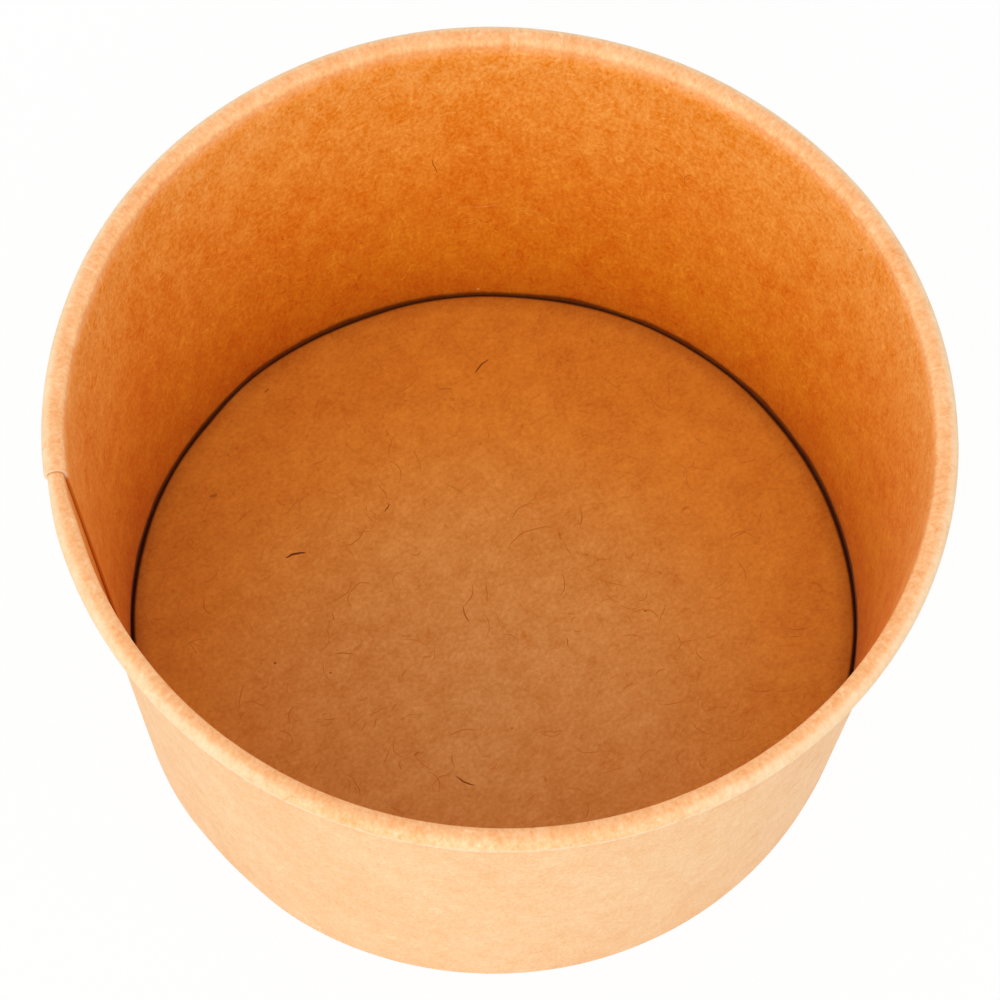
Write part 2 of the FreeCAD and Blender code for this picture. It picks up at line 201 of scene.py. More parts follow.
class Graph:
    """The nodes of a material, the world or a shape, built from Python expressions."""

    def __init__(self, tree: bpy.types.NodeTree) -> None:
        """Empty the tree and keep it."""
        self.tree = tree
        self.tree.nodes.clear()

    @classmethod
    def of(cls, owner: bpy.types.Material | bpy.types.World) -> Graph:
        """Start the nodes of a material or of the world."""
        owner.use_nodes = True
        return cls(owner.node_tree)

    def node(
        self,
        kind: str,
        values: dict[str | int, object] | None = None,
        output: str | int = 0,
        **settings: object,
    ) -> Socket | None:
        """Add any node.

        Args:
            kind: The node's type.
            values: The values or links of its input sockets, by name or number.
            output: Which output to return.
            settings: Its settings, which are set first.

        Returns:
            The chosen output, or nothing where the node has none.
        """
        made = self.tree.nodes.new(kind)
        for name, value in settings.items():
            setattr(made, name, value)
        for name, value in (values or {}).items():
            named = [item for item in made.inputs if item.name == name and item.enabled]
            self.give(made.inputs[name] if isinstance(name, int) else named[0], value)
        if isinstance(output, str):
            return Socket(self, made.outputs[output])
        outputs = [item for item in made.outputs if item.enabled]
        return Socket(self, outputs[output]) if outputs else None

    def give(self, target: Link, value: object) -> None:
        """Give an input a value or a link.

        Args:
            target: The input.
            value: What it gets.
        """
        if isinstance(value, Socket):
            self.tree.links.new(value.link, target)
        else:
            target.default_value = value

    def attribute(self, name: str, output: str = "Fac") -> Socket:
        """Read a named attribute of the mesh."""
        return self.node("ShaderNodeAttribute", None, output, attribute_name=name)

    def part(self, vector: Socket, index: int) -> Socket:
        """Take one of a vector's three parts."""
        return self.node("ShaderNodeSeparateXYZ", {0: vector}, index)

    def parts(self, vector: Socket) -> list[Socket]:
        """Take a vector apart."""
        return [self.part(vector, index) for index in range(3)]

    def vector(self, *parts: Socket | float) -> Socket:
        """Put up to three values together into a vector."""
        return self.node("ShaderNodeCombineXYZ", dict(enumerate(parts)))

    def vectors(self, operation: str, *values: object) -> Socket:
        """Add one Vector Math node and return its result."""
        return self.node("ShaderNodeVectorMath", dict(enumerate(values)), operation=operation)

    def noise(self, where: Socket, scale: float, detail: float, rough: float = 0.55) -> Socket:
        """Add a cloudy pattern.

        Args:
            where: The coordinates that it follows.
            scale: How many clouds there are in one unit of them.
            detail: How many finer layers it has.
            rough: How strong each finer layer is.

        Returns:
            A value that swings about 0, mostly within a half either way.
        """
        values = {"Vector": where, "Scale": scale, "Detail": detail, "Roughness": rough}
        return self.node("ShaderNodeTexNoise", values) - 0.5

    def mix(self, share: Socket | float, first: object, second: object) -> Socket:
        """Mix two colours.

        Args:
            share: How much of the second colour there is, from 0 to 1.
            first: A colour, as a value or a link.
            second: A colour, as a value or a link.

        Returns:
            The mixed colour.
        """
        made = self.tree.nodes.new("ShaderNodeMix")
        made.data_type = "RGBA"
        made.clamp_factor = True
        colours = [item for item in made.inputs if item.type == "RGBA"]
        self.give(made.inputs[0], share)
        self.give(colours[0], first)
        self.give(colours[1], second)
        return Socket(self, next(item for item in made.outputs if item.type == "RGBA"))

    def tint(self, colour: Socket | Colour, tone: Socket, reach: Triple) -> Socket:
        """Make a colour lighter or darker, each channel by its own reach.

        Args:
            colour: The colour, as a value or a link.
            tone: How much lighter, or darker where it is below 0.
            reach: How far red, green and blue follow the tone.

        Returns:
            The changed colour.
        """
        darkest = (0.02, 0.02, 0.02)
        shares = self.vectors("MULTIPLY_ADD", self.vector(tone, tone, tone), reach, WHITE[:3])
        start = colour if isinstance(colour, Socket) else colour[:3]
        return self.vectors("MULTIPLY", start, self.vectors("MAXIMUM", shares, darkest))

    def stops(self, value: Socket, colours: tuple[Stop, ...]) -> Socket:
        """Pick a colour from a row of named stops.

        Args:
            value: Where in the row to look, from 0 to 1.
            colours: Pairs of a place in the row and a colour there.

        Returns:
            The colour.
        """
        made = self.tree.nodes.new("ShaderNodeValToRGB")
        row = made.color_ramp
        row.interpolation = "LINEAR"
        for index, (place, colour) in enumerate(colours):
            stop = row.elements[index] if index < 2 else row.elements.new(place)
            stop.position = place
            stop.color = colour
        self.give(made.inputs[0], value)
        return Socket(self, made.outputs[0])

    def strokes(self, where: Socket, kind: Strokes) -> Socket:
        """Draw short thin curved fibres along the level lines of a cloudy pattern.

        Args:
            where: The coordinates that they follow, in millimetres.
            kind: How they look.

        Returns:
            A value from 0 to 1, which is 1 on a fibre.
        """
        values = {"Vector": where, "W": kind.seed, "Scale": kind.scale, "Detail": 1.0, "Roughness": 0.4}
        cloud = self.node("ShaderNodeTexNoise", values, noise_dimensions="4D")
        line = (cloud * kind.levels).off_middle()
        finer = kind.scale * kind.breaks
        values = {"Vector": where, "W": kind.seed + 9.0, "Scale": finer, "Detail": 1.0}
        breaks = self.node("ShaderNodeTexNoise", values, noise_dimensions="4D")
        mask = breaks.ramp(kind.share, kind.share + kind.fade)
        return line.ramp(kind.width, kind.width * kind.core) * mask


@dataclass(frozen=True)
class Strokes:
    """How short thin curved fibres are drawn along the level lines of a cloudy pattern.

    Attributes:
        scale: How many clouds there are in a millimetre.
        levels: How many level lines the pattern has.
        width: The fibres' width as a share of the room between two lines.
        seed: An offset that gives each kind of fibre its own places.
        share: Above which value of a second, finer pattern a line shows.
        breaks: How much finer the second pattern is.
        fade: How softly a line ends.
        core: How much of the width is at full strength.
    """

    scale: float
    levels: float
    width: float
    seed: float
    share: float
    breaks: float = 2.3
    fade: float = 0.03
    core: float = 0.3


def linear(red: int, green: int, blue: int) -> Colour:
    """Turn a colour as it is seen on a screen into light values.

    Args:
        red: From 0 to 255.
        green: From 0 to 255.
        blue: From 0 to 255.

    Returns:
        The colour with an opacity of 1.
    """

    def channel(value: int) -> float:
        share = value / 255
        return share / 12.92 if share <= 0.04045 else ((share + 0.055) / 1.055) ** 2.4

    return (channel(red), channel(green), channel(blue), 1.0)


@dataclass(frozen=True)
class KraftBoard:
    """Brown kraft board with a thin clear coating: cloudy, fibrous and paler where it is cut.

    A noise is given by how many clouds it has in a millimetre, its detail and its roughness.
    """

    name: str
    grain: Grain
    outside: Colour
    bare: Colour = linear(250, 226, 190)
    clouds: float = 0.4
    cloud_noise: Triple = (0.055, 2.0, 0.9)
    blots: float = 0.65
    blot_noise: Triple = (0.33, 2.0, 0.95)
    grit: float = 0.75
    grit_noise: Triple = (1.9, 1.5, 0.9)
    dark_fibres: float = 0.2
    dark_strokes: Strokes = Strokes(0.16, 5.0, 0.055, 2.0, 0.60)
    pale_fibres: float = 0.05
    pale_strokes: Strokes = Strokes(0.21, 7.0, 0.09, 5.0, 0.56)
    reach: Triple = (0.48, 1.0, 2.4)
    roughness: float = 0.6
    shine: float = 0.3
    fuzz: float = 0.06
    fuzz_roughness: float = 0.35
    relief: float = 0.25
    relief_depth: float = 0.0001

    def pattern(self, graph: Graph) -> Socket:
        """Lay the clouds, blots, grit and fibres of the pulp over the sheet.

        Args:
            graph: The material's nodes.

        Returns:
            How much lighter the board is at each place, or darker where it is below 0.
        """
        sheet = graph.attribute("sheet", "Vector")
        across, along, side = graph.parts(sheet)
        degrees, pull = self.grain.value
        slant = math.radians(degrees)
        first = (across * math.cos(slant) + along * math.sin(slant)) * pull
        second = along * math.cos(slant) - across * math.sin(slant)
        pulp = graph.vector(first, second, side)
        clouds = graph.noise(pulp, *self.cloud_noise)
        blots = graph.noise(pulp, *self.blot_noise)
        grit = graph.noise(pulp, *self.grit_noise)
        dark = graph.strokes(sheet, self.dark_strokes)
        pale = graph.strokes(pulp, self.pale_strokes)
        tone = self.clouds * clouds + self.blots * blots + self.grit * grit
        return tone + self.pale_fibres * pale - self.dark_fibres * dark

    def skin(self, graph: Graph, tone: Socket, height: Socket, place: Socket) -> Socket:
        """Colour the board's faces, with the pattern laid over them."""
        raise NotImplementedError

    def end_colour(self, graph: Graph, height: Socket, layer: Socket) -> Colour | Socket:
        """The colour of the sheet's cut ends."""
        return self.bare

    def make(self) -> bpy.types.Material:
        """Build the finish from nodes.

        Returns:
            The material.
        """
        material = bpy.data.materials.new(self.name)
        graph = Graph.of(material)
        layer = graph.attribute("layer")
        place = graph.node("ShaderNodeTexCoord", None, "Object")
        height = graph.part(place, 2) / MM
        tone = self.pattern(graph)
        colour = self.skin(graph, tone, height, place)
        colour = graph.mix(layer.ramp(*CUT_EDGE), colour, self.bare)
        colour = graph.mix(graph.attribute("cut"), colour, self.end_colour(graph, height, layer))
        values = {"Strength": self.relief, "Distance": self.relief_depth, "Height": tone}
        values = {
            "Base Color": colour,
            "Roughness": self.roughness,
            "Normal": graph.node("ShaderNodeBump", values),
            "Specular IOR Level": self.shine,
            "Sheen Weight": self.fuzz,
            "Sheen Roughness": self.fuzz_roughness,
        }
        shader = graph.node("ShaderNodeBsdfPrincipled", values)
        graph.node("ShaderNodeOutputMaterial", {"Surface": shader})
        return material


@dataclass(frozen=True)
class WallKraft(KraftBoard):
    """The side wall's board: deeper inside and darker towards the foot as painted shade, paler along
    the bead as painted highlight and sheen.

    Pairs are the two ends of a soft change. Where the bead is meant they are shares of half a turn
    round its section, from its outermost point over its top to where the wall goes on below.

    Attributes:
        outside_share: How strongly the pattern shows on the outside.
        bead_share: How much more of it the bead shows.
        on_bead: Where the bead starts.
        turns_deep: Where the pale bead becomes the deep inside.
        turns_warm: Where the bead's top becomes warmer, which fades again at turns_back.
        warmth_lost: How much of that warmth fades.
        bead_highlight_from: Where a painted highlight lies on the bead's outer side and top, until
            bead_highlight_until.
        bead_highlight_front: How far south that ends, because the bead's front stays warm.
        sheen_line_from: Where a painted sheen line runs along the bead's lower outer side, until
            sheen_line_until.
        sheen_line_spots: How much of that stretch shows the painted sheen line, in patches.
        glow_from: Where the bead's inner side is lit up, until glow_until.
        groove_top: Where painted shade darkens the wall above the floor, over corner_shade_depth.
        corner_unrest: How unevenly it does.
        seam_shadow: The degrees along the sheet where it darkens before its end.
        bead_height: Where the seam's edge goes from painted shadow to bare.
    """

    clouds: float = 0.6
    blots: float = 1.05
    grit: float = 1.3
    dark_fibres: float = 0.26
    pale_fibres: float = 0.26
    outside_share: float = 0.38
    bead_share: float = 0.6
    top_height: float = 67.0
    foot_height: float = 7.0
    on_bead: Point = (-0.4, -0.2)
    turns_deep: Point = (0.85, 1.22)
    turns_warm: Point = (0.18, 0.52)
    turns_back: Point = (0.6, 0.8)
    warmth_lost: float = 0.6
    bead_warmth: Triple = (0.02, 0.19, 0.28)
    bead_highlight_from: Point = (-0.25, -0.1)
    bead_highlight_until: Point = (0.5, 0.25)
    bead_highlight_front: Point = (-55.5, -47.0)
    bead_highlight_strength: float = 0.9
    sheen_line_from: Point = (-0.25, -0.2)
    sheen_line_until: Point = (0.08, -0.02)
    sheen_line_spots: Point = (0.3, 0.62)
    sheen_line_strength: float = 0.75
    highlight_patch_noise: Triple = (0.5, 2.0, 0.8)
    glow_from: Point = (0.6, 0.85)
    glow_until: Point = (1.35, 1.0)
    glow_reach: Triple = (0.1, 0.09, 0.02)
    pale_reach: Triple = (0.3, 1.0, 1.9)
    deep_reach: Triple = (0.28, 1.0, 3.2)
    groove_top: float = 9.35
    corner_shade_depth: float = 0.9
    corner_unrest: float = 1.2
    corner_noise: Point = (0.12, 1.0)
    corner_shade_reach: Triple = (0.66, 0.76, 0.84)
    seam_shadow: Point = (359.6, 359.9)
    seam_reach: Triple = (0.26, 0.36, 0.45)
    seam_layers: Point = (0.5, 0.95)
    # The seam's cut end down the wall: from the wall's colour to a dark painted shadow line along the
    # seam
    seam_face: Colour = (0.8, 0.28, 0.02, 1.0)
    seam_shadow_edge: Colour = (0.5, 0.16, 0.018, 1.0)
    bead_height: Point = (64.8, 66.2)
    # The inside's colour by height: the coated inside's own deeper colour, darkened towards the foot as
    # painted shade
    inside: tuple[Stop, ...] = (
        (0.0, (0.62, 0.178, 0.0028, 1.0)),
        (0.22, (0.76, 0.262, 0.0066, 1.0)),
        (0.5, (0.86, 0.30, 0.018, 1.0)),
        (0.8, (0.93, 0.362, 0.043, 1.0)),
        (1.0, (0.95, 0.40, 0.071, 1.0)),
    )

    def skin(self, graph: Graph, tone: Socket, height: Socket, place: Socket) -> Socket:
        """Colour the faces: plain outside, a row of deeper stops inside that paint shade towards the
        foot, painted highlight and sheen on the bead.

        Args:
            graph: The material's nodes.
            tone: The pulp's pattern.
            height: The height above the table in millimetres.
            place: Where on the tub a point is.

        Returns:
            The colour.
        """
        layer = graph.attribute("layer")
        bend = graph.attribute("bend")
        sheet = graph.attribute("sheet", "Vector")
        # Painted shade: the inside darkens from the rim towards the foot, over its own deeper colour
        row = (height - self.foot_height) / (self.top_height - self.foot_height)
        deep = graph.tint(graph.stops(row, self.inside), tone, self.deep_reach)
        # Painted shade on the inside just above the floor, with an uneven top
        uneven = height - graph.noise(sheet, *self.corner_noise) * self.corner_unrest
        corner_shade = uneven.ramp(self.groove_top, self.groove_top - self.corner_shade_depth)
        deep = graph.tint(deep, corner_shade * -1.0, self.corner_shade_reach)
        crest = bend.ramp(*self.turns_warm) * (1 - self.warmth_lost * bend.ramp(*self.turns_back))
        warm = graph.tint(self.outside, crest * -1.0, self.bead_warmth)
        shown = self.outside_share * (1 + self.bead_share * bend.ramp(*self.on_bead))
        pale = graph.tint(warm, tone * shown, self.pale_reach)
        inner = layer.ramp(*INSIDE) * bend.ramp(*self.turns_deep)
        colour = graph.mix(inner, pale, deep)
        # Patches for the painted highlight and sheen line on the bead
        highlight_patches = graph.noise(sheet, *self.highlight_patch_noise) + 0.5
        # Painted highlight on the bead's outer side and top, left off at its front
        north = graph.part(place, 1) / MM
        bead_highlight = bend.ramp(*self.bead_highlight_from) * bend.ramp(*self.bead_highlight_until)
        bead_highlight = bead_highlight * north.ramp(*self.bead_highlight_front)
        colour = graph.mix(bead_highlight * highlight_patches * self.bead_highlight_strength, colour, self.bare)
        # A painted sheen line in patches along the bead's lower outer side
        sheen_line = bend.ramp(*self.sheen_line_from) * bend.ramp(*self.sheen_line_until) * highlight_patches.ramp(*self.sheen_line_spots)
        colour = graph.mix(sheen_line * self.sheen_line_strength, colour, self.bare)
        glow = bend.ramp(*self.glow_from) * bend.ramp(*self.glow_until)
        colour = graph.tint(colour, glow, self.glow_reach)
        seam = graph.attribute("turned_by").ramp(*self.seam_shadow) * layer.ramp(*INSIDE)
        return graph.tint(colour, seam * -1.0, self.seam_reach)

    def end_colour(self, graph: Graph, height: Socket, layer: Socket) -> Colour | Socket:
        """The colour of the sheet's cut ends: bare on the bead, dark down the wall as painted shadow of
        the seam.
        """
        seam_shadow_end = graph.mix(layer.ramp(*self.seam_layers), self.seam_face, self.seam_shadow_edge)
        return graph.mix(height.ramp(*self.bead_height), seam_shadow_end, self.bare)


@dataclass(frozen=True)
class FloorKraft(KraftBoard):
    """The base disc's board: paler in the middle and deeper near the wall as painted light and shade,
    dark in the groove as painted shade.
    """

    radius: float = 50.0
    # The floor's painted pool of light lies this far towards the front
    light_pool_towards: float = 12.0
    # Painted shade over the floor's outer edge by the wall
    edge_shade: Point = (46.0, 48.6)
    edge_shade_reach: Triple = (0.2, 0.28, 0.36)
    floor_height: float = 8.5
    # Painted shade in the groove below the floor's top
    groove_shade_drop: Point = (0.005, 0.2)
    groove_shade_depth: float = 0.9
    groove_shade_reach: Triple = (0.93, 1.0, 1.05)
    # Paler in the middle and deeper, more orange near the wall: painted light and shade, with the
    # wall's reflected light
    face: tuple[Stop, ...] = (
        (0.0, (0.64, 0.310, 0.078, 1.0)),
        (0.45, (0.64, 0.283, 0.053, 1.0)),
        (0.8, (0.66, 0.245, 0.019, 1.0)),
        (1.0, (0.65, 0.225, 0.013, 1.0)),
    )

    def skin(self, graph: Graph, tone: Socket, height: Socket, place: Socket) -> Socket:
        """Colour the faces by how far out they lie as painted light and shade, and paint shade on what
        lies below the floor's top.

        Args:
            graph: The material's nodes.
            tone: The pulp's pattern.
            height: The height above the table in millimetres.
            place: Where on the tub a point is.

        Returns:
            The colour.
        """
        flat = (1 / MM, 1 / MM, 0.0)
        # Painted light and shade: paler round a point towards the front, deeper further out
        light_pool_centre = (0.0, self.light_pool_towards, 0.0)
        spread = graph.vectors("LENGTH", graph.vectors("MULTIPLY_ADD", place, flat, light_pool_centre))
        top = graph.stops(spread / self.radius, self.face)
        out = graph.vectors("LENGTH", graph.vectors("MULTIPLY", place, flat))
        # Painted shade at the floor's edge by the wall
        top = graph.tint(top, out.ramp(*self.edge_shade) * -1.0, self.edge_shade_reach)
        # Painted shade in the groove
        groove = height.ramp(*(self.floor_height - drop for drop in self.groove_shade_drop))
        shaded = graph.tint(top, groove * -self.groove_shade_depth, self.groove_shade_reach)
        colour = graph.mix(graph.attribute("layer").ramp(*OUTSIDE), shaded, self.outside)
        return graph.tint(colour, tone, self.reach)


@dataclass(frozen=True)
class PulpFibre:
    """The colours of the fibres that show in a face of the board, from plain to dark and pale."""

    name: str
    plain: Colour
    dark: Colour
    pale: Colour
    mottle_scale: float = 1500.0
    mottle_reach: Triple = (0.4, 0.5, 0.6)
    dark_power: float = 1.5
    roughness: float = 0.8
    shine: float = 0.15

    def make(self) -> bpy.types.Material:
        """Build the finish from nodes.

        Returns:
            The material.
        """
        material = bpy.data.materials.new(self.name)
        graph = Graph.of(material)
        tone = graph.attribute("tone")
        place = graph.node("ShaderNodeTexCoord", None, "Object")
        mottle = graph.noise(place, self.mottle_scale, 2.0)
        colour = graph.mix(tone.highest(0.0) ** self.dark_power, self.plain, self.dark)
        colour = graph.mix(tone * -1.0, colour, self.pale)
        values = {
            "Base Color": graph.tint(colour, mottle, self.mottle_reach),
            "Roughness": self.roughness,
            "Specular IOR Level": self.shine,
        }
        shader = graph.node("ShaderNodeBsdfPrincipled", values)
        graph.node("ShaderNodeOutputMaterial", {"Surface": shader})
        return material


FLOOR_FIBRE = PulpFibre(
    "floor_fibres", (0.62, 0.215, 0.026, 1.0), (0.19, 0.05, 0.009, 1.0), (0.8, 0.55, 0.25, 1.0)
)
INSIDE_FIBRE = PulpFibre(
    "inside_fibres", (0.82, 0.27, 0.012, 1.0), (0.2, 0.05, 0.008, 1.0), (0.98, 0.62, 0.2, 1.0)
)
OUTSIDE_FIBRE = PulpFibre(
    "outside_fibres", (0.93, 0.54, 0.25, 1.0), (0.85, 0.33, 0.1, 1.0), (0.98, 0.72, 0.45, 1.0)
)


class ShapeTree(Graph):
    """A Geometry Nodes tree with named inputs, and the way to make a plain mesh with it."""

    def __init__(self, name: str, numbers: tuple[str, ...], material: str) -> None:
        """Start the tree.

        Args:
            name: The tree's name.
            numbers: The labels of its numbers. The one called Steps is a whole number.
            material: The label of its material.
        """
        super().__init__(bpy.data.node_groups.new(name, "GeometryNodeTree"))
        face = self.tree.interface
        face.new_socket("Geometry", in_out="INPUT", socket_type="NodeSocketGeometry")
        face.new_socket("Geometry", in_out="OUTPUT", socket_type="NodeSocketGeometry")
        self.sockets: dict[str, str] = {}
        for label in (*numbers, material):
            kind = "Material" if label == material else "Int" if label == "Steps" else "Float"
            made = face.new_socket(label, in_out="INPUT", socket_type=f"NodeSocket{kind}")
            self.sockets[label] = made.identifier
        self.inputs = self.tree.nodes.new("NodeGroupInput")

    def given(self, label: str) -> Socket:
        """One of the tree's inputs."""
        return Socket(self, self.inputs.outputs[label])

    def polar(self, radius: Socket, azimuth: Socket, height: Socket) -> Socket:
        """Turn a radius, an azimuth in radians and a height into a place."""
        east = radius * azimuth.math("COSINE")
        return self.vector(east, radius * azimuth.math("SINE"), height)

    def scaled(self, place: Socket, factor: float) -> Socket:
        """Scale a vector."""
        return self.node("ShaderNodeVectorMath", {0: place, "Scale": factor}, operation="SCALE")

    def read(self, name: str, kind: str = "FLOAT") -> Socket:
        """Read a named attribute."""
        return self.node("GeometryNodeInputNamedAttribute", {"Name": name}, data_type=kind)

    def store(self, geometry: Socket, name: str, value: Socket, kind: str, domain: str) -> Socket:
        """Store a value on a geometry as a named attribute."""
        values = {"Geometry": geometry, "Name": name, "Value": value}
        return self.node("GeometryNodeStoreNamedAttribute", values, data_type=kind, domain=domain)

    def finish(self, geometry: Socket, material: Socket) -> None:
        """End the tree with real geometry in one material.

        Args:
            geometry: The finished shape.
            material: Its material.
        """
        real = self.node("GeometryNodeRealizeInstances", {0: geometry})
        dressed = self.node("GeometryNodeSetMaterial", {"Geometry": real, "Material": material})
        self.node("NodeGroupOutput", {0: dressed})

    def look_up(self, azimuth: Socket, table: tuple[Point, ...], smooth: bool = True) -> Socket:
        """Read how far out a sheet stands at an azimuth.

        Args:
            azimuth: The azimuth in radians.
            table: Millimetres outwards by azimuth in degrees.
            smooth: Whether to round the corners between the table's rows.

        Returns:
            The millimetres outwards.
        """
        made = self.tree.nodes.new("ShaderNodeFloatCurve")
        self.give(made.inputs["Value"], (azimuth / math.tau + 2.0).math("FRACT"))
        curve = made.mapping.curves[0]
        made.mapping.clip_min_y = -1.0
        made.mapping.use_clip = False
        for index, (degrees, out) in enumerate(table):
            if index < 2:
                curve.points[index].location = (degrees / 360, out)
            else:
                curve.points.new(degrees / 360, out)
        for item in curve.points:
            item.handle_type = "AUTO" if smooth else "VECTOR"
        made.mapping.update()
        return Socket(self, made.outputs[0])

    def foot_sway(self, azimuth: Socket, radius: Socket, height: Socket) -> Socket:
        """Work out how far the tub's out-of-round foot moves a point outwards.

        Args:
            azimuth: The point's azimuth in radians.
            radius: Its distance from the axis in millimetres.
            height: Its height in millimetres.

        Returns:
            The millimetres outwards: most at the foot, none at the rim or on the axis.
        """
        kept = height.math("MULTIPLY_ADD", -1 / RIM_HEIGHT, 1.0).highest(0.0)
        from_axis = (radius / FOOT_RADIUS).math("MINIMUM", 1.0)
        return self.look_up(azimuth, FOOT_LEANS) * (kept * from_axis)

    def make(self, name: str, start: bpy.types.Mesh, values: dict[str, object]) -> bpy.types.Object:
        """Run the tree and turn its result into a plain mesh.

        Args:
            name: The piece's name.
            start: The mesh that the tree starts from, with its attributes.
            values: The tree's inputs by label.

        Returns:
            The finished object, at the origin.
        """
        carrier = bpy.data.objects.new(f"{name}_start", start)
        bpy.context.scene.collection.objects.link(carrier)
        modifier = carrier.modifiers.new("shape", "NODES")
        modifier.node_group = self.tree
        for label, value in values.items():
            modifier[self.sockets[label]] = value
        depsgraph = bpy.context.evaluated_depsgraph_get()
        mesh = bpy.data.meshes.new_from_object(carrier.evaluated_get(depsgraph))
        bpy.data.objects.remove(carrier)
        mesh.name = name
        face_outwards(mesh)
        piece = bpy.data.objects.new(name, mesh)
        bpy.context.scene.collection.objects.link(piece)
        return piece


class TurnedSheet(ShapeTree):
    """Geometry Nodes that turn the section of a sheet of board about the tub's axis."""

    def __init__(self, name: str, wobble: tuple[Point, ...], closed: bool) -> None:
        """Build the tree.

        Args:
            name: The tree's name.
            wobble: How far the sheet's free part stands out, in millimetres by azimuth.
            closed: Whether the sheet goes right round and meets itself.
        """
        numbers = ("First azimuth", "Turn", "Ramp start", "Ramp end", "Steps")
        super().__init__(name, numbers, "Board")
        self.build(wobble, closed)

    def build(self, wobble: tuple[Point, ...], closed: bool) -> None:
        """Lay the nodes out, from the section to the finished sheet.

        Args:
            wobble: How far the sheet's free part stands out, in millimetres by azimuth.
            closed: Whether the sheet goes right round and meets itself.
        """
        section = self.node("GeometryNodeMeshToCurve", {"Mesh": self.given("Geometry")})
        axis = self.node("GeometryNodeCurvePrimitiveLine", {"End": (0, 0, 1)}, mode="POINTS")
        values = {"Curve": axis, "Count": self.given("Steps") + 1}
        steps = self.node("GeometryNodeResampleCurve", values)
        share = self.node("GeometryNodeSplineParameter", None, "Factor")
        path = self.store(steps, "turned", share, "FLOAT", "POINT")
        values = {"Curve": path, "Profile Curve": section, "Fill Caps": not closed}
        swept = self.node("GeometryNodeCurveToMesh", values)
        turned = self.read("turned")
        azimuth = turned * self.given("Turn") + self.given("First azimuth")
        start, end = self.given("Ramp start"), self.given("Ramp end")
        values = {"Value": turned, "From Min": start, "From Max": end, "To Max": RAMP_STEP}
        lapped = self.node("ShaderNodeMapRange", values, interpolation_type="SMOOTHSTEP")
        lap, flat = self.read("lap", "FLOAT_VECTOR"), self.read("section", "FLOAT_VECTOR")
        radius, height, _ = self.parts(self.vectors("MULTIPLY_ADD", lap, lapped, flat))
        free = self.look_up(azimuth, wobble, not closed) * self.read("loose")
        swayed = free + self.foot_sway(azimuth, radius * (1 / MM), height * (1 / MM))
        place = self.polar(swayed.math("MULTIPLY_ADD", MM, radius), azimuth, height)
        placed = self.node("GeometryNodeSetPosition", {"Geometry": swept, "Position": place})
        if closed:
            sheet = self.scaled(place, 1 / MM)
        else:
            depth = self.read("layer") * LAYER_ROOM
            sheet = self.vector(azimuth * ARC_RADIUS, self.read("along"), depth)
        laid = self.store(placed, "sheet", sheet, "FLOAT_VECTOR", "POINT")
        if closed:
            laid = self.node("GeometryNodeMergeByDistance", {"Geometry": laid, "Distance": WELD})
        smooth = self.node("GeometryNodeSetShadeSmooth", {"Geometry": laid})
        values = {0: self.node("GeometryNodeInputMeshEdgeAngle"), 1: math.radians(CREASE)}
        sharp = self.node("FunctionNodeCompare", values, data_type="FLOAT", operation="GREATER_THAN")
        creased = self.store(smooth, "sharp_edge", sharp, "BOOLEAN", "EDGE")
        corners = self.node("GeometryNodeInputMeshFaceNeighbors", None, "Vertex Count")
        # Only the faces that close a sheet's two ends have more than four corners
        marked = self.store(creased, "cut", corners.math("GREATER_THAN", 4.5), "FLOAT", "FACE")
        degrees = turned * self.given("Turn").math("ABSOLUTE") * math.degrees(1)
        counted = self.store(marked, "turned_by", degrees, "FLOAT", "POINT")
        self.finish(counted, self.given("Board"))


@dataclass(frozen=True)
class Fleck:
    """A fibre or speck that shows in a face of the board, in millimetres and degrees."""

    across: float
    up: float
    length: float
    slant: float
    sag: float
    width: float
    tone: float


